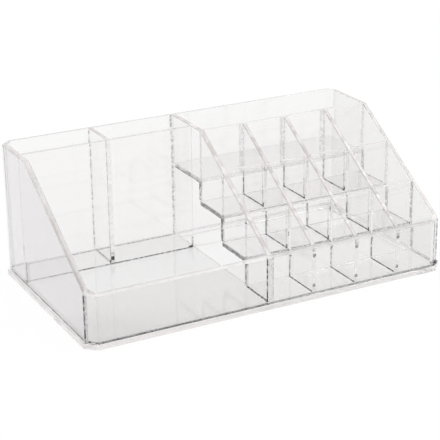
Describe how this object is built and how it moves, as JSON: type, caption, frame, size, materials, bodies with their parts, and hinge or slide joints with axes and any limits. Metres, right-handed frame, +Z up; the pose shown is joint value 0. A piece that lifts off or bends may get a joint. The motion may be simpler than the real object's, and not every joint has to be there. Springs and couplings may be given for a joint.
{
  "type": "vanity organizer",
  "caption": "Clear desktop vanity organizer: low front tray, tall rear compartments, and stepped rows of small square cells rising to a trough.",
  "frame": {"origin": "centre of the base plate's underside, on the surface that the organizer stands on", "axes": "+X to the right along the width, +Y from the low front to the tall back, +Z up"},
  "size_m": [0.225, 0.124, 0.08],
  "materials": {
    "wall_acrylic": "clear polished acrylic sheet",
    "inner_acrylic": "clear polished acrylic sheet with saw-cut, polished edges",
    "base_acrylic": "clear polished acrylic plate, lightly scuffed underneath"
  },
  "bodies": {
    "root": {"base_plate": "base_acrylic", "back_wall": "wall_acrylic", "left_wall": "wall_acrylic", "right_wall": "wall_acrylic", "front_wall": "wall_acrylic", "front_left_corner": "wall_acrylic", "front_right_corner": "wall_acrylic", "back_left_corner": "wall_acrylic", "back_right_corner": "wall_acrylic", "tall_front_wall": "inner_acrylic", "step_side_wall": "inner_acrylic", "trough_wall": "inner_acrylic", "trough_floor": "inner_acrylic", "tall_divider_1": "inner_acrylic", "row_2_wall": "inner_acrylic", "row_3_wall": "inner_acrylic", "row_2_floor": "inner_acrylic", "row_3_floor": "inner_acrylic", "step_divider_1": "inner_acrylic", "step_divider_2": "inner_acrylic", "step_divider_3": "inner_acrylic"}
  },
  "joints": []
}
